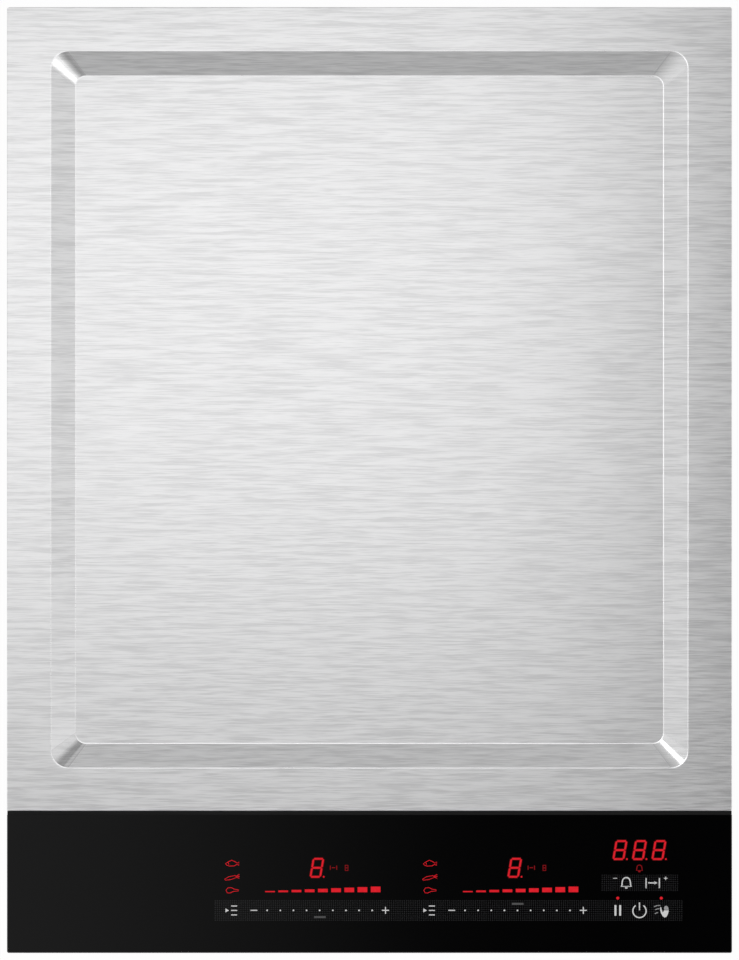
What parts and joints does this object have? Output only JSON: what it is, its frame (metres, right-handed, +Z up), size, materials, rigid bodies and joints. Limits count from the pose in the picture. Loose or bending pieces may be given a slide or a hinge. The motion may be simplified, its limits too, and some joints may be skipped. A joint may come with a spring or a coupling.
{
  "type": "teppanyaki cooktop",
  "caption": "Built-in induction griddle with a shallow brushed-steel cooking well and a black glass touch control strip, clamped in a worktop cut-out.",
  "frame": {"origin": "middle of the bounding box in plan, at the underside of the housing tray", "axes": "+Z up towards the cooking plate, -Y to the front where the control strip is, +X to the right"},
  "size_m": [0.384, 0.501, 0.08],
  "materials": {
    "brushed_plate": "brushed along X, satin",
    "black_glass": "opaque black glass ceramic, polished",
    "black_silicone": "matt",
    "grey_foam": "closed-cell foam",
    "galvanised_sheet": "zinc-coated sheet with spangle",
    "zinc_steel": "zinc plated",
    "spring_steel": "bright spring steel",
    "aluminium_sheet": "mill finish",
    "aluminium_sink": "extruded",
    "ferritic_steel": "rolled",
    "ceramic_fibre": "pressed fibre",
    "copper_wire": "enamelled stranded copper",
    "wire_sleeve": "glass-silk sleeve",
    "white_plastic": "moulded, matt",
    "black_plastic": "moulded, matt",
    "ferrite": "sintered",
    "circuit_board": "solder mask",
    "grey_plastic": "moulded, matt",
    "dark_steel": "laminated core",
    "bronze": "sintered",
    "pad_foam": "conductive foam",
    "sensor_steel": "steel cap"
  },
  "bodies": {
    "root": {"air_duct": "black_plastic", "blower_base": "black_plastic", "blower_bearing": "bronze", "blower_cover": "black_plastic", "blower_stator": "dark_steel", "cable_gland": "black_plastic", "carrier_ring": "galvanised_sheet", "control_board": "circuit_board", "control_carrier": "black_plastic", "control_glass": "black_glass", "control_ribbon": "white_plastic", "display_modules": "white_plastic", "film_capacitors": "grey_plastic", "filter_board": "circuit_board", "filter_choke": "dark_steel", "front_coil_leads": "wire_sleeve", "front_coil_springs": "spring_steel", "glass_joint": "black_silicone", "heat_sink": "aluminium_sink", "heat_spreader": "aluminium_sheet", "housing_tray": "galvanised_sheet", "induction_base_sheet": "ferritic_steel", "insulation_mat": "ceramic_fibre", "left_clamp_bracket": "galvanised_sheet", "mounting_frame": "galvanised_sheet", "power_board": "circuit_board", "power_transistors": "black_plastic", "rear_coil_leads": "wire_sleeve", "rear_coil_springs": "spring_steel", "right_clamp_bracket": "galvanised_sheet", "shield_plate": "aluminium_sheet", "supply_wires": "wire_sleeve", "temperature_sensors": "sensor_steel", "teppan_plate": "brushed_plate", "terminal_block": "grey_plastic", "threaded_pillars": "galvanised_sheet", "touch_pads": "pad_foam", "worktop_seal": "grey_foam"},
    "front_coil_unit": {"front_coil_carrier": "white_plastic", "front_coil_winding": "copper_wire", "front_coil_ferrites": "ferrite"},
    "rear_coil_unit": {"rear_coil_carrier": "white_plastic", "rear_coil_winding": "copper_wire", "rear_coil_ferrites": "ferrite"},
    "impeller": {"blower_impeller": "black_plastic", "blower_shaft": "zinc_steel"},
    "left_screw": {"left_clamp_screw": "zinc_steel"},
    "right_screw": {"right_clamp_screw": "zinc_steel"},
    "left_nut": {"left_clamp_nut": "zinc_steel"},
    "right_nut": {"right_clamp_nut": "zinc_steel"},
    "left_claw": {"left_clamp_claw": "zinc_steel"},
    "right_claw": {"right_clamp_claw": "zinc_steel"}
  },
  "joints": [
    {"name": "front_coil_float", "type": "slide", "parent": "root", "child": "front_coil_unit", "axis": [0, 0, 1], "range_m": [-0.0025, 0], "stiffness_N_per_m": 4000, "springref_m": 0.006, "deforming": ["front_coil_springs", "front_coil_leads"]},
    {"name": "rear_coil_float", "type": "slide", "parent": "root", "child": "rear_coil_unit", "axis": [0, 0, 1], "range_m": [-0.0025, 0], "stiffness_N_per_m": 4000, "springref_m": 0.006, "deforming": ["rear_coil_springs", "rear_coil_leads"]},
    {"name": "impeller_spin", "type": "hinge", "parent": "root", "child": "impeller", "pos_m": [-0.102, -0.146, 0.015], "axis": [0, 0, 1], "continuous": true},
    {"name": "left_clamp_turn", "type": "hinge", "parent": "root", "child": "left_screw", "pos_m": [-0.1725, 0.02, 0.03], "axis": [0, 0, 1], "range_deg": [0, 15480]},
    {"name": "left_clamp_climb", "type": "slide", "parent": "root", "child": "left_nut", "axis": [0, 0, 1], "range_m": [0, 0.043]},
    {"name": "left_claw_swing", "type": "hinge", "parent": "left_nut", "child": "left_claw", "pos_m": [-0.1725, 0.02, 0.015], "axis": [0, 0, 1], "range_deg": [0, 90]},
    {"name": "right_clamp_turn", "type": "hinge", "parent": "root", "child": "right_screw", "pos_m": [0.1725, 0.02, 0.03], "axis": [0, 0, 1], "range_deg": [0, 15480]},
    {"name": "right_clamp_climb", "type": "slide", "parent": "root", "child": "right_nut", "axis": [0, 0, 1], "range_m": [0, 0.043]},
    {"name": "right_claw_swing", "type": "hinge", "parent": "right_nut", "child": "right_claw", "pos_m": [0.1725, 0.02, 0.015], "axis": [0, 0, 1], "range_deg": [-90, 0]}
  ],
  "couplings": [
    {"joint": "left_clamp_turn", "follows": "left_clamp_climb", "rad_per_m": 6283.2},
    {"joint": "right_clamp_turn", "follows": "right_clamp_climb", "rad_per_m": 6283.2}
  ]
}
